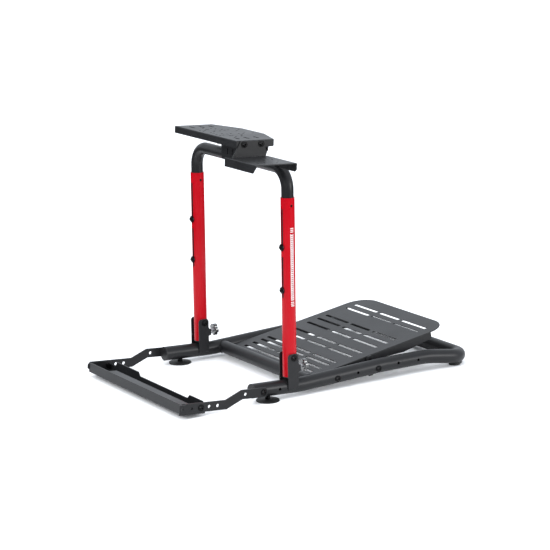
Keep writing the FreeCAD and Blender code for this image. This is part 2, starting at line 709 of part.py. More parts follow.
def make_uprights():
    screws = [make_upright(side_name, side) for side_name, side in SIDES]
    node(group("grub_group", screws), "bush_screws")


# --- mast ---------------------------------------------------------------------------------------

def make_mast():
    half = number_of("dim.half_track")
    low = number_of("dim.mast_low")
    top = number_of("dim.mast_top")
    corners = [Vector(0, -half, low), Vector(0, -half, top), Vector(0, half, top), Vector(0, half, low)]
    path = bend_path(corners, [number_of("dim.mast_bend")] * 2)
    outside = bent_bar(path, number_of("dim.mast_radius"))
    inside = bent_bar(path, number_of("dim.mast_radius - dim.mast_wall"))
    tube = tube_feature("mast_tube", outside.cut(inside))
    holes = [cylinder(f"mast_hole_{side_name}_{level}", "dim.bolt_radius", "dim.mast_radius + 1",
                      (0, f"{side} * dim.half_track", f"dim.{level}_bolt"), X_AXIS * -1)
             for side_name, side in SIDES for level in ("upper", "lower")]
    node(cut("mast_cut", tube, holes), "mast_bar")


def make_height_bolts():
    screws = []
    rings = []
    for side_name, side in SIDES:
        middle = f"{side} * dim.half_track"
        for level in ("upper", "lower"):
            height = f"dim.{level}_bolt"
            seat = "-dim.upright_radius - 0.4"
            screws.append(button_screw(f"{level}_height_bolt_{side_name}",
                                       (f"{seat} - dim.height_collar", middle, height), X_AXIS, 18))
            rings.append(washer(f"{level}_height_ring_{side_name}", (seat, middle, height), X_AXIS * -1,
                                "dim.height_collar"))
    node(group("height_bolt_group", screws), "height_bolts")
    node(group("height_washer_group", rings), "height_washers")


def make_saddle():
    """Two ears joined by a front plate, welded over the top run of the mast."""
    body = new_body("saddle")
    profile = new_sketch(body, "saddle_profile", "XZ_Plane")
    add_outline(profile, [("-27", "647"), ("28", "647"), ("50", "666"), ("59", "688"), ("57", "700"),
                          ("34", "702"), ("-6", "717"), ("-33", "717"), ("-35", "704"), ("-27", "690")])
    pad(body, "saddle_pad", profile, "2 * dim.saddle_half", midplane=True)
    room = new_sketch(body, "saddle_room_outline", "XY_Plane")
    inner = "dim.saddle_half - dim.sheet_plate"
    add_outline(room, [("-27 + dim.sheet_plate", f"-({inner})"), ("80", f"-({inner})"),
                       ("80", inner), ("-27 + dim.sheet_plate", inner)])
    pocket(body, "saddle_room", room)
    nose = new_sketch(body, "saddle_nose_outline", "YZ_Plane")
    add_outline(nose, [(f"-({inner})", "690"), (inner, "690"), (inner, "730"), (f"-({inner})", "730")])
    pocket(body, "saddle_nose", nose)
    slots = new_sketch(body, "saddle_slot_outline", "YZ_Plane")
    for across in (-26, 0, 26):
        add_slot(slots, across, 664, 683, 2.8)
    pocket(body, "saddle_slots", slots)
    holes = new_sketch(body, "saddle_hole_outline", "XZ_Plane")
    add_circle(holes, 0, "dim.mast_top", "dim.mast_radius + 0.02")
    add_circle(holes, "dim.tilt_along", "dim.tilt_height", "dim.bolt_hole")
    turned = "dim.lock_along * cos(dim.deck_angle * 1 deg) + dim.lock_up * sin(dim.deck_angle * 1 deg)"
    raised = "-dim.lock_along * sin(dim.deck_angle * 1 deg) + dim.lock_up * cos(dim.deck_angle * 1 deg)"
    add_circle(holes, f"dim.tilt_along + {turned}", f"dim.tilt_height + {raised}", "dim.bolt_hole")
    pocket(body, "saddle_holes", holes)
    node(body, "tilt_saddle")
    return (f"dim.tilt_along + {turned}", f"dim.tilt_height + {raised}")


def make_tilt_bolts(lock_at):
    screws = []
    nuts = []
    inner = "(dim.saddle_half - dim.sheet_plate - 0.05)"
    outer = "(dim.hanger_half + 0.4)"
    places = (("pivot", ("dim.tilt_along", "dim.tilt_height")), ("lock", lock_at))
    for side_name, side in SIDES:
        for label, (along, height) in places:
            screws.append(button_screw(f"tilt_{label}_{side_name}", (along, f"{side} * {outer}", height),
                                       Y_AXIS * -side, f"{outer} - {inner} + dim.nut_thick + 1"))
            nuts.append(nut(f"tilt_{label}_nut_{side_name}", (along, f"{side} * {inner}", height),
                             Y_AXIS * -side))
    node(group("tilt_bolt_group", screws), "tilt_bolts")
    node(group("tilt_nut_group", nuts), "tilt_nuts")


# --- wheel deck, drawn level from the tilt axis and then turned -----------------------------------

def place_on_deck(item):
    place(item, ("dim.tilt_along", 0, "dim.tilt_height"), FreeCAD.Rotation(Y_AXIS, 5), "dim.deck_angle")


def make_wheel_plate():
    body = new_body("deck")
    outline = new_sketch(body, "deck_outline", "XY_Plane")
    front = "dim.deck_front"
    side_end = "dim.deck_front + dim.deck_side"
    back = "dim.deck_front + dim.deck_length"
    add_outline(outline, [(front, "-dim.deck_half"), (side_end, "-dim.deck_half"),
                          (back, "-dim.deck_back_half"),
                          (back, "dim.deck_back_half"), (side_end, "dim.deck_half"), (front, "dim.deck_half")])
    pad(body, "deck_slab", outline, "dim.deck_top")
    edge_x = number_of(front)
    edge_y = number_of("dim.deck_half")
    edge_z = number_of("dim.deck_top")
    round_edges(body, "deck_bends",
                lambda edge, middle: abs(middle.z - edge_z) < 0.1
                and (abs(middle.x - edge_x) < 0.1 or abs(abs(middle.y) - edge_y) < 0.1), "dim.bend_radius")
    below = new_sketch(body, "deck_below_outline", "YZ_Plane")
    under = "dim.deck_top - dim.sheet_plate"
    lip = "dim.deck_top - dim.deck_flange"
    inner = "dim.deck_half - dim.sheet_plate"
    add_outline(below, [(f"-({inner})", "-5"), (inner, "-5"), (inner, under), (f"-({inner})", under)])
    hollow = body.newObject("PartDesign::Pocket", "deck_hollow")
    hollow.Profile = below
    hollow.setExpression("Length", "-dim.deck_front - dim.sheet_plate")
    hollow.Reversed = False
    body.Tip = hollow
    doc.recompute()
    trim = new_sketch(body, "deck_trim_outline", "XZ_Plane")
    add_outline(trim, [(f"{front} - 5", "-5"), (f"{back} + 5", "-5"), (f"{back} + 5", under),
                       (side_end, under), (side_end, lip), (f"{front} - 5", lip)])
    pocket(body, "deck_trim", trim)
    corner = number_of(side_end)
    base = number_of(lip)
    round_edges(body, "deck_corners",
                lambda edge, middle: runs_along(edge, "y") and abs(middle.x - corner) < 0.1
                and abs(middle.z - base) < 0.1, 4)
    holes = new_sketch(body, "deck_hole_outline", "XY_Plane")
    pattern = ((16, 36), (16, 56), (24, 8), (30, 51), (43, 22), (43, 66), (47, 91), (50, 67), (53, 36),
               (68, 30), (70, 83), (78, 72), (89, 38), (89, 54), (102, 42), (118, 20), (136, 40))
    for along, across in pattern:
        for side in (LEFT, RIGHT):
            add_circle(holes, f"{front} + {along}", f"{side * across}", 3.4)
    pocket(body, "deck_holes", holes)
    slots = new_sketch(body, "deck_slot_outline", "XY_Plane")
    for along in (30, 62, 94):
        for side in (LEFT, RIGHT):
            low, top = sorted((side * 108, side * 138))
            add_slot(slots, f"{front} + {along}", low, top, 3.4)
    pocket(body, "deck_slots", slots)
    bolts = new_sketch(body, "deck_bolt_outline", "XZ_Plane")
    for along in ("dim.shifter_bolt_front", "dim.shifter_bolt_back"):
        add_circle(bolts, along, "dim.shifter_bolt_up", "dim.clear_hole")
    pocket(body, "deck_bolt_holes", bolts)
    place_on_deck(body)
    node(body, "wheel_plate")


def make_hanger():
    """An inverted channel under the wheel plate whose ears straddle the saddle."""
    body = new_body("hanger")
    profile = new_sketch(body, "hanger_profile", "XZ_Plane")
    top = "dim.deck_top - dim.sheet_plate - 0.02"
    add_outline(profile, [("-100", top), ("-97", "26"), ("-84", "0"), ("-24", "-2"), ("-11", "-11"),
                          ("4", "-11"), ("9", "-6"), ("9", "6"), ("2", "13"), ("-12", top)])
    pad(body, "hanger_pad", profile, "2 * dim.hanger_half", midplane=True)
    room = new_sketch(body, "hanger_room_outline", "YZ_Plane")
    inner = "dim.hanger_half - dim.sheet_plate"
    roof = "dim.deck_top - 2 * dim.sheet_plate"
    add_outline(room, [(f"-({inner})", "-30"), (inner, "-30"), (inner, roof), (f"-({inner})", roof)])
    pocket(body, "hanger_room", room)
    pivot = new_sketch(body, "hanger_pivot_outline", "XZ_Plane")
    add_circle(pivot, 0, 0, "dim.bolt_hole")
    pocket(body, "hanger_pivot", pivot)
    reach = math.hypot(number_of("dim.lock_along"), number_of("dim.lock_up"))
    heading = math.atan2(number_of("dim.lock_up"), number_of("dim.lock_along"))
    swing = math.radians(number_of("dim.lock_swing"))
    size = number_of("dim.clear_hole")
    arc = new_sketch(body, "hanger_arc_outline", "XZ_Plane")
    ends = (heading - swing, heading + swing)
    centre = Vector(0, 0, 0)
    for radius in (reach - size, reach + size):
        arc.addGeometry(Part.ArcOfCircle(Part.Circle(centre, Z_AXIS, radius), *ends))
    for angle, turn in ((ends[0], math.pi), (ends[1], 0)):
        tip = Vector(reach * math.cos(angle), reach * math.sin(angle), 0)
        arc.addGeometry(Part.ArcOfCircle(Part.Circle(tip, Z_AXIS, size), angle + turn, angle + turn + math.pi))
    pocket(body, "hanger_arc", arc)
    place_on_deck(body)
    node(body, "tilt_hanger")



def sheet_body(name, role, points, thickness, at=(0, 0, 0), holes=()):
    """A flat piece: an outline on an origin plane with round holes, thickened along the plane's normal."""
    body = new_body(name)
    outline = new_sketch(body, name + "_outline", role)
    add_outline(outline, points)
    for x, y, radius in holes:
        add_circle(outline, x, y, radius)
    pad(body, name + "_pad", outline, thickness)
    place(body, at)
    return body


def folded(name, pieces, wanted, at, angle):
    """Join flat pieces, round the chosen folds and carry the whole to a point, turned about Y."""
    joined = fuse(name + "_joined", pieces)
    joined.Refine = True
    doc.recompute()
    rounded = doc.addObject("Part::Fillet", name + "_folds")
    rounded.Base = joined
    radius = number_of("dim.bend_radius")
    rounded.Edges = [(index, radius, radius) for index, edge in enumerate(joined.Shape.Edges, start=1)
                     if wanted(edge, edge.BoundBox.Center)]
    moved = group(name, [rounded])
    place(moved, at, FreeCAD.Rotation(Y_AXIS, 5), angle)
    return moved


def make_shifter_bracket():
    """A leg bolted to the wheel plate's right side and a shelf turned outwards from its foot."""
    face = "(dim.deck_half + 0.2)"
    outer = f"({face} + dim.sheet_plate)"
    top = "dim.shifter_top"
    lip = "dim.shifter_top - dim.shifter_flange"
    front = "dim.shifter_front"
    back = "dim.shifter_back"
    leg = sheet_body("shifter_leg", "XZ_Plane",
                     [(f"{front} + 14", top), ("dim.leg_back", top), ("dim.leg_back - 4", 30),
                      ("dim.leg_back - 4", 41.5),
                      ("-154", 41.5), ("-158", 31)], "dim.sheet_plate", (0, f"-{face}", 0),
                     [("dim.shifter_bolt_front", "dim.shifter_bolt_up", "dim.clear_hole"),
                      ("dim.shifter_bolt_back", "dim.shifter_bolt_up", "dim.clear_hole")])
    shelf_holes = [(f"{front} + {along}", f"-dim.shifter_outside + {across}", 3)
                   for along, across in ((22, 25), (22, 105), (52, 40), (52, 90), (84, 25), (84, 105),
                                         (104, 50), (104, 80), (36, 65), (68, 65))]
    shelf = sheet_body("shifter_shelf", "XY_Plane",
                       [(f"{front}", "-dim.shifter_outside"), (back, "-dim.shifter_outside"),
                        (back, f"-{face}"), (front, f"-{face}")], "dim.sheet_plate",
                       (0, 0, "dim.shifter_top - dim.sheet_plate"), shelf_holes)
    front_lip = sheet_body("shifter_front_lip", "YZ_Plane",
                           [("-dim.shifter_outside", top), ("-dim.shelf_inside", top),
                            ("-dim.shelf_inside", lip),
                            ("-dim.shifter_outside + 16", lip), ("-dim.shifter_outside", f"{top} - 7")],
                           "dim.sheet_plate", (front, 0, 0))
    back_lip = sheet_body("shifter_back_lip", "YZ_Plane",
                          [("-dim.shifter_outside", top), ("-232", top), ("-236", lip),
                           ("-dim.shifter_outside + 7", lip), ("-dim.shifter_outside", f"{lip} + 7")],
                          "dim.sheet_plate", (f"{back} - dim.sheet_plate", 0, 0))
    pieces = [leg, shelf, front_lip, back_lip]
    ridge = number_of(top)
    ends = (number_of(front), number_of(back))
    whole = folded("shifter", pieces,
                   lambda edge, middle: runs_along(edge, "y") and abs(middle.z - ridge) < 0.1
                   and min(abs(middle.x - end) for end in ends) < 0.1,
                   ("dim.tilt_along", 0, "dim.tilt_height"), "dim.deck_angle")
    node(whole, "shifter_bracket")


def make_deck_bolts():
    """Screws that hold the shifter bracket and their twins on the other side of the wheel plate."""
    screws = []
    rings = []
    nuts = []
    for side_name, side in SIDES:
        step = "0.1"
        if side == RIGHT:
            step = "0.2 + dim.sheet_plate + 0.1"
        face = f"(dim.deck_half + {step})"
        inner = "(dim.deck_half - dim.sheet_plate - 0.1)"
        out = Y_AXIS * side
        for label, along in (("front", "dim.shifter_bolt_front"), ("back", "dim.shifter_bolt_back")):
            at = (along, f"{side} * {face}", "dim.shifter_bolt_up")
            seat = (along, f"{side} * ({face} + dim.washer_thick)", "dim.shifter_bolt_up")
            rings.append(washer(f"deck_ring_{side_name}_{label}", at, out))
            screws.append(button_screw(f"deck_screw_{side_name}_{label}", seat, out * -1, 16))
            nuts.append(nut(f"deck_nut_{side_name}_{label}",
                            (along, f"{side} * {inner}", "dim.shifter_bolt_up"), out * -1))
    at = ("dim.tilt_along", 0, "dim.tilt_height")
    for items, label in ((screws, "deck_bolts"), (rings, "deck_washers"), (nuts, "deck_nuts")):
        gathered = group(label + "_group", items)
        place(gathered, at, FreeCAD.Rotation(Y_AXIS, 5), "dim.deck_angle")
        node(gathered, label)


# --- pedal deck, drawn level from its front top edge and then turned ------------------------------

def pedal_local(along, height):
    """Local coordinates of a point of the row frame, as expressions."""
    run = f"(({along}) - dim.pedal_front)"
    rise = f"(({height}) - dim.pedal_height)"
    turn = "(dim.pedal_angle * 1 deg)"
    return (f"{run} * cos{turn} + {rise} * sin{turn}", f"-{run} * sin{turn} + {rise} * cos{turn}")


def place_on_pedals(item):
    place(item, ("dim.pedal_front", 0, "dim.pedal_height"), FreeCAD.Rotation(Y_AXIS, -5), "-dim.pedal_angle")


def make_pedal_plate():
    body = new_body("pedals")
    outline = new_sketch(body, "pedals_outline", "XY_Plane")
    half = "dim.pedal_half"
    add_outline(outline, [(0, f"-{half}"), ("dim.pedal_length", f"-{half}"),
                          ("dim.pedal_length", half), (0, half)])
    pad(body, "pedals_slab", outline, 60, reverse=True)
    end = number_of("dim.pedal_length")
    round_edges(body, "pedals_corners", lambda edge, middle: runs_along(edge, "z") and middle.x > end - 0.1,
                "dim.pedal_length - dim.pedal_side")
    round_edges(body, "pedals_bends", lambda edge, middle: abs(middle.z) < 0.1, "dim.bend_radius * 0.7")
    inner = "dim.pedal_half - dim.pedal_sheet"
    room = new_sketch(body, "pedals_room_outline", "YZ_Plane")
    add_outline(room, [(f"-({inner})", "-70"), (inner, "-70"), (inner, "-dim.pedal_sheet"),
                       (f"-({inner})", "-dim.pedal_sheet")])
    pocket(body, "pedals_room", room)
    trim = new_sketch(body, "pedals_trim_outline", "XZ_Plane")
    add_outline(trim, [("-5", "-70"), ("dim.pedal_length + 5", "-70"),
                       ("dim.pedal_length + 5", "-dim.pedal_sheet"),
                       ("dim.pedal_side", "-dim.pedal_sheet"), ("dim.pedal_side", "-21"), ("320", "-30"),
                       ("215", "-19"), ("30", "-19"), ("6", "-10"), ("6", "-dim.pedal_sheet"),
                       ("-5", "-dim.pedal_sheet")])
    pocket(body, "pedals_trim", trim)
    slots = new_sketch(body, "pedals_slot_outline", "XY_Plane")
    add_slot(slots, 19, -186, 186, "dim.pedal_slot / 2")
    for along in (49, 79, 103, 160, 196, 251, 290, 322, 400, 433):
        for low, top in ((-186, -64), (-50, 50), (64, 186)):
            add_slot(slots, along, low, top, "dim.pedal_slot / 2")
    pocket(body, "pedals_slots", slots)
    pins = new_sketch(body, "pedals_pin_outline", "XZ_Plane")
    add_circle(pins, *pedal_local("dim.hole_first", "dim.pedal_pivot_height"), "dim.bolt_hole")
    add_circle(pins, *pedal_local("dim.hole_first + 142.4", "dim.brace_hole_height"), "dim.clear_hole")
    pocket(body, "pedals_pins", pins)
    place_on_pedals(body)
    node(body, "pedal_plate")


def make_braces():
    """Slotted flat bars that hold the rear of the pedal plate at its height."""
    pin_along = "(dim.hole_first + 142.4)"
    clamp_along = "dim.hole_first + 2 * dim.hole_pitch"
    run = number_of(f"{clamp_along} - {pin_along}")
    drop = number_of("dim.brace_hole_height - dim.brace_clamp_height")
    lean = math.degrees(math.atan(run / drop))
    reach = math.hypot(run, drop)
    pins = []
    pin_nuts = []
    for side_name, side in SIDES:
        body = new_body(f"brace_{side_name}")
        outline = new_sketch(body, f"brace_{side_name}_outline", "XZ_Plane")
        half = "dim.brace_half"
        add_outline(outline, [(f"-{half}", 6), (f"-{half} + 5", 11), (f"{half} - 5", 11), (half, 6),
                              (half, -45), (f"{half} - 5", -50), (f"-{half} + 5", -50), (f"-{half}", -45)])
        add_circle(outline, 0, 0, "dim.bolt_hole")
        pad(body, f"brace_{side_name}_pad", outline, "dim.brace_plate")
        gap = new_sketch(body, f"brace_{side_name}_gap", "XZ_Plane")
        add_slot(gap, 0, f"-{reach} - 26", f"-{reach} + 5", "dim.clear_hole")
        pocket(body, f"brace_{side_name}_slot", gap)
        body.Placement = FreeCAD.Placement(Vector(0, 0, 0), FreeCAD.Rotation(Y_AXIS, -lean))
        edge = "dim.brace_inside" if side == RIGHT else "dim.brace_inside + dim.brace_plate"
        across = f"-({edge})" if side == RIGHT else f"{edge}"
        place(body, (pin_along, across, "dim.brace_hole_height"))
        node(body, f"brace_{side_name}")
        outer = "(dim.brace_inside + dim.brace_plate + 0.3)"
        head = cone(f"pin_head_{side_name}", 5.5, 4.5, 2.2,
                    (pin_along, f"{side} * {outer}", "dim.brace_hole_height"), Y_AXIS * side)
        shank = cylinder(f"pin_shank_{side_name}", "dim.bolt_radius",
                         f"{outer} - dim.pedal_half + dim.pedal_sheet + dim.nut_thick + 1",
                         (pin_along, f"{side} * {outer}", "dim.brace_hole_height"), Y_AXIS * -side)
        pins.append(fuse(f"pin_{side_name}", [head, shank]))
        inside = f"{side} * (dim.pedal_half - dim.pedal_sheet - 0.1)"
        pin_nuts.append(nut(f"pin_nut_{side_name}", (pin_along, inside, "dim.brace_hole_height"),
                            Y_AXIS * -side))
    node(group("pin_group", pins), "brace_pins")
    node(group("pin_nut_group", pin_nuts), "brace_pin_nuts")


# --- chair lock, drawn level from the strap bolt and then turned ----------------------------------

def make_strap(side_name, side, end):
    """A joggled flat bar with round ends."""
    half = "dim.strap_half"
    drop = "dim.strap_drop"
    body = new_body(f"strap_{side_name}")
    outline = new_sketch(body, f"strap_{side_name}_outline", "XZ_Plane")
    add_outline(outline, [("6", f"{half}"), ("-73", half), ("-124", f"{half} - {drop}"),
                          (f"{end} + 8", f"{half} - {drop}"), (end, f"{half} - {drop} - 8"),
                          (end, f"-{half} - {drop} + 8"), (f"{end} + 8", f"-{half} - {drop}"),
                          ("-121", f"-{half} - {drop}"), ("-70", f"-{half}"), ("6", f"-{half}"),
                          ("12", "-6"), ("12", "6")])
    add_circle(outline, 0, 0, "dim.bolt_hole")
    add_circle(outline, "dim.tray_bolt", f"-{drop}", "dim.clear_hole")
    for step in (1, 2):
        add_circle(outline, f"dim.tray_bolt + {step} * dim.strap_hole_pitch + 2", f"-{drop}", 5)
    add_circle(outline, "-60", "0", 5)
    pad(body, f"strap_{side_name}_pad", outline, "dim.strap_plate")
    inside = "(dim.half_track + dim.rail_radius + dim.strap_gap)"
    across = f"-{inside}" if side == RIGHT else f"{inside} + dim.strap_plate"
    place(body, ("dim.strap_pivot", across, "dim.strap_pivot_height"), FreeCAD.Rotation(Y_AXIS, 5),
          "dim.strap_angle")
    node(body, f"chair_strap_{side_name}")


def make_tray():
    """An upward-open channel that takes the front casters of a chair."""
    plate = "dim.sheet_plate"
    front = "dim.tray_front"
    back = "dim.tray_back + 3"
    low = "dim.tray_low"
    top = "dim.tray_top"
    near_edge = "-(dim.half_track + dim.rail_radius + dim.strap_gap + dim.strap_plate + 3.3)"
    far_edge = "(dim.half_track + dim.rail_radius + 0.3)"
    width = f"{far_edge} - ({near_edge})"
    front_wall = block("tray_front_wall", (plate, width, f"{top} - ({low})"), (front, near_edge, low))
    floor = block("tray_floor", (f"{back} - ({front})", width, plate), (front, near_edge, low))
    gate = "dim.half_track + dim.rail_radius - 2"
    lip = block("tray_lip_plate", ("dim.tray_lip", f"{gate} + 150", plate),
                (front, f"-({gate})", f"{top} - {plate}"))
    guard = f"{top} + 3.4"
    sill = f"{top} - 7.6"
    back_wall = sheet_body("tray_back_wall", "YZ_Plane",
                           [(f"-({gate})", low), (far_edge, low), (far_edge, f"{sill} - 3"),
                            ("236", f"{sill} - 3"),
                            ("226", guard), ("100", guard), ("90", sill), ("-184", sill), ("-194", guard),
                            (f"-({gate})", guard)], plate, (f"{back} - {plate}", 0, 0))
    near_end = sheet_body("tray_near_end", "XZ_Plane",
                          [(f"{front} - 8", low), (back, low), (back, top), (f"{front} - 8", top)],
                          plate, (0, f"{near_edge} + {plate}", 0),
                          [(f"dim.tray_bolt - {along}", "-dim.strap_drop", "dim.clear_hole")
                           for along in (0, 30, 60)])
    far_end = sheet_body("tray_far_end", "XZ_Plane", [(front, low), (back, low), (back, top), (front, top)],
                         plate, (0, far_edge, 0), [("dim.tray_bolt", "-dim.strap_drop", "dim.clear_hole")])
    pieces = [front_wall, lip, floor, back_wall, near_end, far_end]
    keel = number_of(low)
    face = number_of(front)
    whole = folded("tray", pieces,
                   lambda edge, middle: runs_along(edge, "y") and abs(middle.z - keel) < 0.1
                   and abs(middle.x - face) < 0.1 and edge.Length > 200,
                   ("dim.strap_pivot", 0, "dim.strap_pivot_height"), "dim.strap_angle")
    node(whole, "caster_tray")


def make_strap_fasteners():
    """The two bolts on which the straps turn and the two that hold the tray between them."""
    turned = "(dim.tray_bolt * cos(dim.strap_angle * 1 deg) - dim.strap_drop * sin(dim.strap_angle * 1 deg))"
    raised = "(-dim.tray_bolt * sin(dim.strap_angle * 1 deg) - dim.strap_drop * cos(dim.strap_angle * 1 deg))"
    tray_at = (f"dim.strap_pivot + {turned}", f"dim.strap_pivot_height + {raised}")
    pivots = []
    tray_screws = []
    tray_rings = []
    tray_nuts = []
    strap_face = "(dim.half_track + dim.rail_radius + dim.strap_gap + dim.strap_plate + 0.4)"
    for side_name, side in SIDES:
        out = Y_AXIS * side
        seat = f"{side} * ({strap_face} + dim.washer_thick)"
        pivots.append(button_screw(f"strap_pivot_{side_name}", ("dim.strap_pivot", seat, "dim.strap_pivot_height"),
                                   out * -1, 20))
        base_washers.append(washer(f"strap_ring_{side_name}",
                                   ("dim.strap_pivot", f"{side} * {strap_face}", "dim.strap_pivot_height"), out))
        base_nuts.append(nut(f"strap_nut_{side_name}",
                             ("dim.strap_pivot", f"{side} * (dim.half_track + dim.rail_radius - 3.5)",
                              "dim.strap_pivot_height"), out * -1))
        outside = "(dim.half_track + dim.rail_radius + dim.strap_gap + dim.strap_plate + 0.1)"
        inside = "(dim.half_track + dim.rail_radius - 2.8)"
        if side == RIGHT:
            outside = "(dim.half_track + dim.rail_radius + dim.strap_gap + dim.strap_plate + 3.4)"
            inside = "(dim.half_track + dim.rail_radius + 0.5)"
        tray_seat = f"{side} * ({outside} + dim.washer_thick)"
        tray_screws.append(button_screw(f"tray_screw_{side_name}", (tray_at[0], tray_seat, tray_at[1]),
                                        out * -1, f"{outside} + dim.washer_thick - {inside} + dim.nut_thick + 1"))
        tray_rings.append(washer(f"tray_ring_{side_name}", (tray_at[0], f"{side} * {outside}", tray_at[1]),
                                 out))
        tray_nuts.append(nut(f"tray_nut_{side_name}", (tray_at[0], f"{side} * {inside}", tray_at[1]),
                             out * -1))
    node(group("strap_pivot_group", pivots), "strap_pivot_bolts")
    node(group("tray_screw_group", tray_screws), "tray_bolts")
    node(group("tray_ring_group", tray_rings), "tray_washers")
    node(group("tray_nut_group", tray_nuts), "tray_nuts")


# --- assembly -------------------------------------------------------------------------------------

rail_solid = make_base_frame()
doc.recompute()
make_cross_tube(rail_solid)
make_fold_bolts()
make_rail_fasteners()
for side_name, side in SIDES:
    make_fold_bracket(side_name, side, rail_solid)
    make_end_cap(side_name, side)
    make_rear_foot(side_name, side, rail_solid)
    make_levelling_foot(side_name, side)
    make_star_knob(side_name, side)
    make_strap(side_name, side, "dim.tray_front + 5" if side == RIGHT else "dim.tray_front - 3")
make_uprights()
make_mast()
make_height_bolts()
make_tilt_bolts(make_saddle())
make_wheel_plate()
make_hanger()
make_shifter_bracket()
make_deck_bolts()
make_pedal_plate()
make_braces()
make_tray()
make_strap_fasteners()
node(group("base_washer_group", base_washers), "base_washers")
node(group("base_nut_group", base_nuts), "base_nuts")
doc.recompute()

for item in doc.Objects:
    if "Invalid" in item.State or "Error" in item.State:
        raise RuntimeError(item.Name + " does not build")
for item in nodes:
    if item.Shape.isNull() or not item.Shape.isValid() or not item.Shape.Solids:
        raise RuntimeError(item.Label + " has no valid shape")
    item.Shape.exportStep(f"parts/{item.Label}.step")
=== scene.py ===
import json
import math

import bmesh
import bpy
from mathutils import Matrix, Vector


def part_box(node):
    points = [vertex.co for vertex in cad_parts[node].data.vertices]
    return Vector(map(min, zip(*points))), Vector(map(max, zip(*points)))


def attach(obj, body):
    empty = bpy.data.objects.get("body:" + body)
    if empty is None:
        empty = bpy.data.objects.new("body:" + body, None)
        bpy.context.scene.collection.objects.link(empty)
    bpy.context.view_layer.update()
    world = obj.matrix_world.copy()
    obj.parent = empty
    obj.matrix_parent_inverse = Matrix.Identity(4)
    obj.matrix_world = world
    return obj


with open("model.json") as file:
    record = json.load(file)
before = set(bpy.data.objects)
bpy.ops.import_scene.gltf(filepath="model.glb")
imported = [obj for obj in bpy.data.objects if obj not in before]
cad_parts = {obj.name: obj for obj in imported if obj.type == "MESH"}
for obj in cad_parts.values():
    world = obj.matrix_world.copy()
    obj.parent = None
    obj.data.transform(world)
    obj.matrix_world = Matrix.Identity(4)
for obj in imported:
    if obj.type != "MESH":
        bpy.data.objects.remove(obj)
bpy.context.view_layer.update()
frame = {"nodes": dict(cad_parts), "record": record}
X = Vector((1, 0, 0))
Z = Vector((0, 0, 1))
FULL_TURN = 2 * math.pi


# --- materials ------------------------------------------------------------------------------------

DUST_COLOUR = (0.42, 0.41, 0.39)
COAT_ROUGHNESS = 0.12
ROUGHNESS_SPREAD = 0.04
PEEL_DEPTH = 0.0003


def shader(name):
    material = bpy.data.materials.new(name)
    material.use_nodes = True
    tree = material.node_tree
    return material, tree, tree.nodes["Principled BSDF"]


def add(tree, kind, **settings):
    item = tree.nodes.new(kind)
    for key, value in settings.items():
        setattr(item, key, value)
    return item


def noise(tree, coordinates, scale, detail, roughness=0.55):
    item = add(tree, "ShaderNodeTexNoise")
    item.inputs["Scale"].default_value = scale
    item.inputs["Detail"].default_value = detail
    item.inputs["Roughness"].default_value = roughness
    tree.links.new(coordinates, item.inputs["Vector"])
    return item.outputs["Fac"]


def ramp(tree, source, between, to=(0.0, 1.0)):
    """The source, stretched from one range to another and held at its ends."""
    item = add(tree, "ShaderNodeMapRange")
    item.inputs["From Min"].default_value, item.inputs["From Max"].default_value = between
    item.inputs["To Min"].default_value, item.inputs["To Max"].default_value = to
    tree.links.new(source, item.inputs["Value"])
    return item.outputs["Result"]


def maths(tree, operation, one, other):
    """Each of the two is a float or another node's output."""
    item = add(tree, "ShaderNodeMath", operation=operation)
    for socket, value in zip(item.inputs, (one, other)):
        if isinstance(value, float):
            socket.default_value = value
        else:
            tree.links.new(value, socket)
    return item.outputs[0]


def blend_colour(tree, factor, one, other):
    """From one colour to the other; each is a tuple or another node's output."""
    item = add(tree, "ShaderNodeMix", data_type="RGBA")
    tree.links.new(factor, item.inputs["Factor"])
    for name, value in (("A", one), ("B", other)):
        socket = [entry for entry in item.inputs if entry.name == name and entry.type == "RGBA"][0]
        if isinstance(value, tuple):
            socket.default_value = (*value, 1)
        else:
            tree.links.new(value, socket)
    return [entry for entry in item.outputs if entry.type == "RGBA"][0]


def bump(tree, height, strength, distance, normal=None):
    item = add(tree, "ShaderNodeBump")
    item.inputs["Strength"].default_value = strength
    item.inputs["Distance"].default_value = distance
    tree.links.new(height, item.inputs["Height"])
    if normal is not None:
        tree.links.new(normal, item.inputs["Normal"])
    return item.outputs["Normal"]


def rounded_normal(tree, radius, samples):
    item = add(tree, "ShaderNodeBevel", samples=samples)
    item.inputs["Radius"].default_value = radius
    return item.outputs["Normal"]


def soft_edges(tree, radius):
    """A mask that is bright along edges, and a normal that turns smoothly round them."""
    rounded = rounded_normal(tree, radius, samples=8)
    geometry = add(tree, "ShaderNodeNewGeometry")
    dot = add(tree, "ShaderNodeVectorMath", operation="DOT_PRODUCT")
    tree.links.new(rounded, dot.inputs[0])
    tree.links.new(geometry.outputs["Normal"], dot.inputs[1])
    turned = maths(tree, "SUBTRACT", 1.0, dot.outputs["Value"])
    return ramp(tree, turned, between=(0.03, 0.22)), rounded


def toned(colour, share, lift=0.0):
    """A colour made paler by a share of itself (darker below 0), then lifted evenly."""
    return tuple(min(1, channel * (1 + share) + lift) for channel in colour)


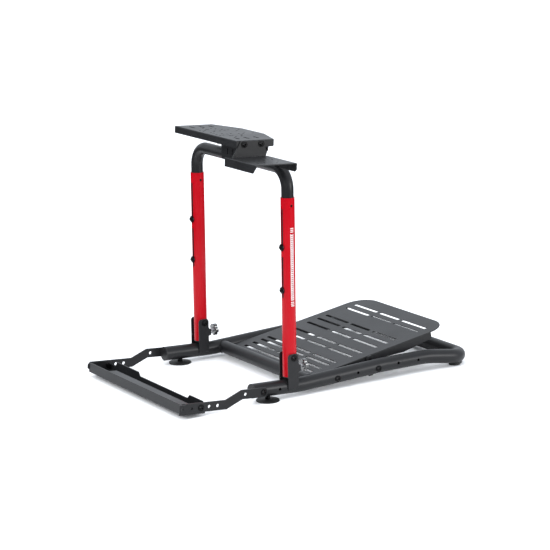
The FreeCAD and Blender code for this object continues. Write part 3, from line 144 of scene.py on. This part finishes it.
def finish_material(name, colour, edge_wear_and_highlight_colour, rough, peel, shine, dust, round_by, grain=1400, edge_wear_and_highlight=0.35,
                    coat=0.0, mottle=0.14):
    """A coated or moulded surface: mottled colour, specks, a film of dust, and edges paled by
    edge_wear_and_highlight_colour, partly real rubbing and partly a painted highlight.

    peel is the strength of the fine bump and grain its scale. round_by is the radius that edges are
    shaded with, or 0 for none, and edge_wear_and_highlight is how much of
    edge_wear_and_highlight_colour shows on them, as real rubbing and as a painted highlight.
    """
    material, tree, surface = shader(name)
    place = add(tree, "ShaderNodeTexCoord").outputs["Object"]
    broad = noise(tree, place, scale=9, detail=4)
    middle = noise(tree, place, scale=85, detail=5, roughness=0.6)
    fine = noise(tree, place, scale=grain, detail=2, roughness=0.5)
    patches = ramp(tree, broad, between=(0.32, 0.68))
    base = blend_colour(tree, patches, toned(colour, -mottle), toned(colour, mottle, lift=0.0006))
    specks = ramp(tree, fine, between=(0.62, 0.78), to=(0, 0.35))
    base = blend_colour(tree, specks, base, toned(colour, 3 * mottle, lift=0.0015))
    film = ramp(tree, maths(tree, "MULTIPLY", broad, middle), between=(0.22, 0.5), to=(0, dust))
    base = blend_colour(tree, film, base, DUST_COLOUR)
    normal = None
    if round_by:
        edges, normal = soft_edges(tree, round_by)
        # Edges take the paler edge colour in patches: partly real rubbing of the coat, partly a
        # painted highlight along the edges.
        uneven = ramp(tree, middle, between=(0.42, 0.62), to=(0.25 * edge_wear_and_highlight, edge_wear_and_highlight))
        base = blend_colour(tree, maths(tree, "MULTIPLY", edges, uneven), base, edge_wear_and_highlight_colour)
    tree.links.new(base, surface.inputs["Base Color"])
    roughness = ramp(tree, broad, between=(0.3, 0.7),
                     to=(rough - ROUGHNESS_SPREAD, rough + ROUGHNESS_SPREAD))
    tree.links.new(roughness, surface.inputs["Roughness"])
    surface.inputs["Specular IOR Level"].default_value = shine
    surface.inputs["Coat Weight"].default_value = coat
    surface.inputs["Coat Roughness"].default_value = COAT_ROUGHNESS
    tree.links.new(bump(tree, fine, peel, PEEL_DEPTH, normal), surface.inputs["Normal"])
    return material


def metal_material(name, colour, rough):
    """Plated steel with faint machining streaks, darker stains and softened edges."""
    material, tree, surface = shader(name)
    place = add(tree, "ShaderNodeTexCoord").outputs["Object"]
    stretch = add(tree, "ShaderNodeMapping")
    stretch.inputs["Scale"].default_value = (1, 1, 9)
    tree.links.new(place, stretch.inputs["Vector"])
    streaks = noise(tree, stretch.outputs["Vector"], scale=220, detail=4, roughness=0.7)
    stain = noise(tree, place, scale=60, detail=5, roughness=0.6)
    stained = tuple(channel * 0.72 for channel in colour)
    base = blend_colour(tree, ramp(tree, stain, between=(0.35, 0.7)), colour, stained)
    tree.links.new(base, surface.inputs["Base Color"])
    surface.inputs["Metallic"].default_value = 1.0
    roughness = ramp(tree, streaks, between=(0.25, 0.75), to=(rough - 0.08, rough + 0.1))
    tree.links.new(roughness, surface.inputs["Roughness"])
    rounded = rounded_normal(tree, radius=0.0004, samples=6)
    normal = bump(tree, streaks, strength=0.12, distance=0.0002, normal=rounded)
    tree.links.new(normal, surface.inputs["Normal"])
    return material


def ink_material():
    """Pale printing ink, rubbed thin in fine specks."""
    material, tree, surface = shader("pale_ink")
    place = add(tree, "ShaderNodeTexCoord").outputs["Object"]
    film = noise(tree, place, scale=120, detail=5, roughness=0.6)
    grain = noise(tree, place, scale=2400, detail=2)
    patches = ramp(tree, film, between=(0.3, 0.7))
    base = blend_colour(tree, patches, (0.84, 0.83, 0.82), (0.92, 0.92, 0.92))
    specks = ramp(tree, grain, between=(0.66, 0.78), to=(0, 0.15))
    base = blend_colour(tree, specks, base, (0.62, 0.40, 0.40))
    tree.links.new(base, surface.inputs["Base Color"])
    roughness = ramp(tree, film, between=(0.3, 0.7), to=(0.42, 0.55))
    tree.links.new(roughness, surface.inputs["Roughness"])
    normal = bump(tree, grain, strength=0.1, distance=0.0002)
    tree.links.new(normal, surface.inputs["Normal"])
    return material


FINISHES = {
    # The pale edge colour of the black coat is partly real rubbing and partly a painted highlight
    # along its edges.
    "black_paint": finish_material(
        "black_powder_coat", colour=(0.0105, 0.0107, 0.0116), edge_wear_and_highlight_colour=(0.13, 0.133, 0.14),
        rough=0.36, peel=0.12, shine=0.18, dust=0.004, edge_wear_and_highlight=0.5, round_by=0.0006),
    "red_paint": finish_material(
        "red_powder_coat", colour=(0.345, 0.0006, 0.0058), edge_wear_and_highlight_colour=(0.60, 0.05, 0.05),
        rough=0.22, peel=0.025, grain=900, shine=0.16, dust=0.0, mottle=0.025, round_by=0),
    "black_plastic": finish_material(
        "black_moulding", colour=(0.0065, 0.0065, 0.007), edge_wear_and_highlight_colour=(0.04, 0.04, 0.04),
        rough=0.45, peel=0.2, grain=2200, shine=0.35, dust=0.008, round_by=0.0009),
    "knob_plastic": finish_material(
        "knob_moulding", colour=(0.006, 0.006, 0.0065), edge_wear_and_highlight_colour=(0.05, 0.05, 0.05),
        rough=0.16, peel=0.05, grain=2000, shine=0.8, dust=0.005, coat=1.0, round_by=0.0012),
    "rubber": finish_material(
        "foot_rubber", colour=(0.007, 0.007, 0.007), edge_wear_and_highlight_colour=(0.03, 0.03, 0.03),
        rough=0.6, peel=0.3, grain=1700, shine=0.3, dust=0.02, round_by=0.0012),
    "black_steel": finish_material(
        "black_oxide", colour=(0.0022, 0.0022, 0.0025), edge_wear_and_highlight_colour=(0.16, 0.16, 0.17),
        rough=0.18, peel=0.03, grain=2600, shine=0.1, dust=0.0, edge_wear_and_highlight=0.08, round_by=0.0004),
    "zinc_steel": metal_material("bright_zinc", colour=(0.68, 0.68, 0.70), rough=0.32),
}

for entry in frame["record"]["subparts"]:
    item = frame["nodes"][entry["node"]]
    item.data.materials.clear()
    item.data.materials.append(FINISHES[entry["material_slot"]])


# --- added detail ---------------------------------------------------------------------------------

# A side rail's axis, as the CAD bends it: at the open end, at the knee and at the crest.
RAIL_HEAD = Vector((-0.127, 0, 0.0365))
RAIL_KNEE = Vector((0.035, 0, 0.0295))
RAIL_CREST = Vector((0.320, 0, 0.042))
RAIL_RADIUS = 0.021

# From the middle plane to the axis of each rail, upright and lock knob.
TRACK = 0.2475

# A weld bead: the distance between its rings, and its drops' distance and share of swelling.
BEAD_STEP = 0.0007
DROP_PITCH = 0.0036
DROP_SWELL = 0.16


def mesh_object(name, mesh_data, material):
    """Turn a bmesh into an object of the scene."""
    mesh = bpy.data.meshes.new(name)
    mesh_data.to_mesh(mesh)
    mesh_data.free()
    mesh.materials.append(material)
    item = bpy.data.objects.new(name, mesh)
    bpy.context.scene.collection.objects.link(item)
    return item


def piece(name, mesh_data, material, body, smooth=True):
    """Turn a bmesh into a piece of a body."""
    bmesh.ops.recalc_face_normals(mesh_data, faces=mesh_data.faces)
    item = mesh_object(name, mesh_data, material)
    for face in item.data.polygons:
        face.use_smooth = smooth
    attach(item, body)


def sweep(mesh_data, path, radius_at, sides=10, closed=False):
    """A round skin along a list of points; radius_at gives the radius for a point's index."""
    rings = []
    count = len(path)
    turns = [FULL_TURN * side / sides for side in range(sides)]
    for index, point in enumerate(path):
        before = path[(index - 1) % count] if closed or index else point
        after = path[(index + 1) % count] if closed or index < count - 1 else point
        ahead = (after - before).normalized()
        across = ahead.cross(Z if abs(ahead.z) < 0.9 else X).normalized()
        over = ahead.cross(across)
        radius = radius_at(index)
        rings.append([
            mesh_data.verts.new(point + radius * (math.cos(turn) * across + math.sin(turn) * over))
            for turn in turns])
    for index in range(count if closed else count - 1):
        one = rings[index]
        other = rings[(index + 1) % count]
        for side in range(sides):
            after = (side + 1) % sides
            mesh_data.faces.new((one[side], one[after], other[after], other[side]))
    if not closed:
        mesh_data.faces.new(rings[0])
        mesh_data.faces.new(list(reversed(rings[-1])))


def rippled(radius):
    """The swelling of a weld bead laid down drop by drop, as sweep's radius_at."""
    return lambda index: radius * (
        1 + DROP_SWELL * math.cos(FULL_TURN * index * BEAD_STEP / DROP_PITCH))


def spread(start, end):
    """Points about one bead step apart on the line between two points."""
    count = max(1, round((end - start).length / BEAD_STEP))
    return [start.lerp(end, index / count) for index in range(count + 1)]


def rail_axis(along):
    """The height of a rail's axis, at a place along X ahead of the crest."""
    start, end = (RAIL_HEAD, RAIL_KNEE) if along < RAIL_KNEE.x else (RAIL_KNEE, RAIL_CREST)
    return start.lerp(end, (along - start.x) / (end.x - start.x)).z


def cross_tube_weld(side):
    """The seam where the cross tube meets the inside of a side rail."""
    off_tube = 0.0006
    off_rail = 0.0004
    least_depth = 0.004
    box_low, box_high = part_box("front_cross_tube")
    centre = (box_low + box_high) / 2
    radius = (box_high.z - box_low.z) / 2
    count = round(FULL_TURN * radius / BEAD_STEP)
    path = []
    for index in range(count):
        turn = FULL_TURN * index / count
        along = centre.x + (radius + off_tube) * math.sin(turn)
        height = centre.z + (radius + off_tube) * math.cos(turn)
        from_axis = height - rail_axis(along)
        depth = math.sqrt(max(RAIL_RADIUS ** 2 - from_axis ** 2, least_depth ** 2))
        path.append(Vector((along, side * (TRACK - depth - off_rail), height)))
    bead = bmesh.new()
    sweep(bead, path, rippled(0.0021), closed=True)
    return bead


def bracket_weld(side):
    """Beads along the foot of both ears of a fold bracket."""
    off_rail = 0.0007
    under_ear = 0.0004
    front_inset = 0.0015
    back_inset = 0.0095
    low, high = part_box("fold_bracket_left")
    bead = bmesh.new()
    for face in (-1, 1):
        offset = side * TRACK + face * (RAIL_RADIUS + off_rail)
        path = spread(Vector((low.x + front_inset, offset, low.z - under_ear)),
                      Vector((high.x - back_inset, offset, low.z - under_ear)))
        sweep(bead, path, rippled(0.0019))
    return bead


def stud_thread(side):
    """The exposed turns of a lock knob's stud."""
    start = 0.0285
    pitch = 0.00125
    radius = 0.00395
    ridge = 0.0004
    turns = 7
    steps = 20
    low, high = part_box("knob_stud_left")
    axis = Vector((0, side * TRACK, (low.z + high.z) / 2))
    path = []
    for index in range(turns * steps + 1):
        turn = FULL_TURN * index / steps
        path.append(axis + Vector((start + pitch * index / steps,
                                   radius * math.cos(turn), radius * math.sin(turn))))
    thread = bmesh.new()
    sweep(thread, path, lambda index: ridge, sides=5)
    return thread


def upright_graphic():
    """A plain pale ladder down the outer face of the near upright, with three bars at each end.

    Widths are angles about the upright's axis, from the outermost line of its face.
    """
    off_face = 0.0002
    ink_depth = 0.00025
    columns = 6
    middle = 0.02
    half = 0.25
    bottom = 0.268
    top = 0.493
    bar = 0.003
    bar_pitch = 0.005
    block = 0.013
    ladder_inset = 0.017
    stile = 0.10
    rungs = 34
    rung_share = 0.66

    low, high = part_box("upright_right")
    radius = (high.x - low.x) / 2 + off_face
    graphic = bmesh.new()

    def patch(left, right, lower, upper):
        rows = []
        for index in range(columns + 1):
            angle = left + index / columns * (right - left)
            across = radius * math.sin(angle)
            out = -TRACK - radius * math.cos(angle)
            rows.append([graphic.verts.new((across, out, height)) for height in (lower, upper)])
        for one, other in zip(rows, rows[1:]):
            graphic.faces.new((one[0], other[0], other[1], one[1]))

    for end in (bottom, top - block):
        for index in range(3):
            level = end + index * bar_pitch
            patch(middle - half, middle + half, level, level + bar)
    for edge in (-half, half - stile):
        patch(middle + edge, middle + edge + stile, bottom + ladder_inset, top - ladder_inset)
    pitch = (top - bottom - 2 * ladder_inset) / rungs
    for index in range(rungs):
        start = bottom + ladder_inset + index * pitch
        patch(middle - half + stile, middle + half - stile, start, start + pitch * rung_share)
    bmesh.ops.solidify(graphic, geom=list(graphic.faces), thickness=ink_depth)
    return graphic


black = FINISHES["black_paint"]
for side_name, side in (("left", 1), ("right", -1)):
    piece("cross_tube_weld_" + side_name, cross_tube_weld(side), black, "base")
    piece("bracket_weld_" + side_name, bracket_weld(side), black, "base")
    piece("stud_thread_" + side_name, stud_thread(side), FINISHES["zinc_steel"],
          "knob_" + side_name)
piece("upright_graphic", upright_graphic(), ink_material(), "uprights", smooth=False)


# --- floor, light and camera ----------------------------------------------------------------------

def floor_piece(name, inner, outer, material):
    """A flat round sheet, or a ring where inner is not zero."""
    sides = 96
    sheet = bmesh.new()
    rims = [[sheet.verts.new((radius * math.cos(turn), radius * math.sin(turn), 0))
             for turn in (FULL_TURN * side / sides for side in range(sides))]
            for radius in (inner, outer) if radius]
    if inner:
        for side in range(sides):
            after = (side + 1) % sides
            sheet.faces.new((rims[0][side], rims[1][side], rims[1][after], rims[0][after]))
    else:
        sheet.faces.new(rims[0])
    item = mesh_object(name, sheet, material)
    return item


def make_floor():
    """A pale floor of which only the lit middle shows in the paint, as if it were dark beyond."""
    lit = 1.5
    far = 14
    material, tree, surface = shader("pale_floor")
    surface.inputs["Base Color"].default_value = (0.95, 0.95, 0.95, 1)
    surface.inputs["Roughness"].default_value = 0.7
    surface.inputs["Specular IOR Level"].default_value = 0.15
    floor_piece("floor", 0, lit, material)
    floor_piece("floor_beyond", lit, far, material).visible_glossy = False


def make_backdrop():
    """A plain white shell far out, which only the camera sees."""
    material = bpy.data.materials.new("white_backdrop")
    material.use_nodes = True
    tree = material.node_tree
    tree.nodes.remove(tree.nodes["Principled BSDF"])
    glow = add(tree, "ShaderNodeEmission")
    output = tree.nodes["Material Output"]
    tree.links.new(glow.outputs["Emission"], output.inputs["Surface"])
    shell = bmesh.new()
    bmesh.ops.create_uvsphere(shell, u_segments=48, v_segments=24, radius=24)
    backdrop = mesh_object("backdrop", shell, material)
    for ray in ("diffuse", "glossy", "shadow", "transmission", "volume_scatter"):
        setattr(backdrop, "visible_" + ray, False)


def area_light(name, at, target, size, power):
    data = bpy.data.lights.new(name, "AREA")
    data.shape = "DISK"
    data.size = size
    data.energy = power
    item = bpy.data.objects.new(name, data)
    item.location = at
    item.rotation_euler = (Vector(target) - Vector(at)).to_track_quat("-Z", "Y").to_euler()
    bpy.context.scene.collection.objects.link(item)


def make_studio():
    """White surroundings that go dark under the horizon, an overhead wash and two softboxes."""
    world = bpy.data.worlds.new("studio")
    world.use_nodes = True
    tree = world.node_tree
    background = tree.nodes["Background"]
    background.inputs["Color"].default_value = (0.93, 0.98, 1.05, 1)
    height = add(tree, "ShaderNodeSeparateXYZ")
    direction = add(tree, "ShaderNodeTexCoord").outputs["Generated"]
    tree.links.new(direction, height.inputs["Vector"])
    strength = ramp(tree, height.outputs["Z"], between=(-0.06, 0.14), to=(0.05, 1.28))
    tree.links.new(strength, background.inputs["Strength"])
    bpy.context.scene.world = world
    data = bpy.data.lights.new("wash", "SUN")
    data.angle = math.radians(60)
    data.energy = 0.9
    wash = bpy.data.objects.new("wash", data)
    wash.rotation_euler = (math.radians(8), math.radians(-10), 0)
    bpy.context.scene.collection.objects.link(wash)
    area_light("side", at=(1.7, -2.8, 0.9), target=(0, 0, 0.35), size=1.3, power=50)
    area_light("key", at=(-2.8, -0.9, 1.9), target=(0, 0, 0.3), size=0.9, power=52)
    bpy.context.scene.view_settings.view_transform = "Standard"


def make_camera():
    """The camera fitted to the photograph; its focal length is in the photograph's pixels."""
    heading = math.radians(57.55)
    drop = math.radians(13.01)
    roll = math.radians(-0.80)
    target = Vector((0.11264, 0, 0.29311))
    distance = 6.17489
    focal = 2097.41
    photo_width = 550
    sensor = 36
    forward = Vector((math.cos(drop) * math.cos(heading), math.cos(drop) * math.sin(heading),
                      -math.sin(drop)))
    level = Vector((math.sin(heading), -math.cos(heading), 0))
    above = level.cross(forward)
    right = math.cos(roll) * level + math.sin(roll) * above
    up = -math.sin(roll) * level + math.cos(roll) * above
    data = bpy.data.cameras.new("camera")
    data.sensor_width = sensor
    data.lens = focal / photo_width * sensor
    data.clip_end = 80
    camera = bpy.data.objects.new("camera", data)
    turned = Matrix((right, up, -forward)).transposed().to_4x4()
    camera.matrix_world = Matrix.Translation(target - distance * forward) @ turned
    bpy.context.scene.collection.objects.link(camera)
    bpy.context.scene.camera = camera


make_floor()
make_backdrop()
make_studio()
make_camera()
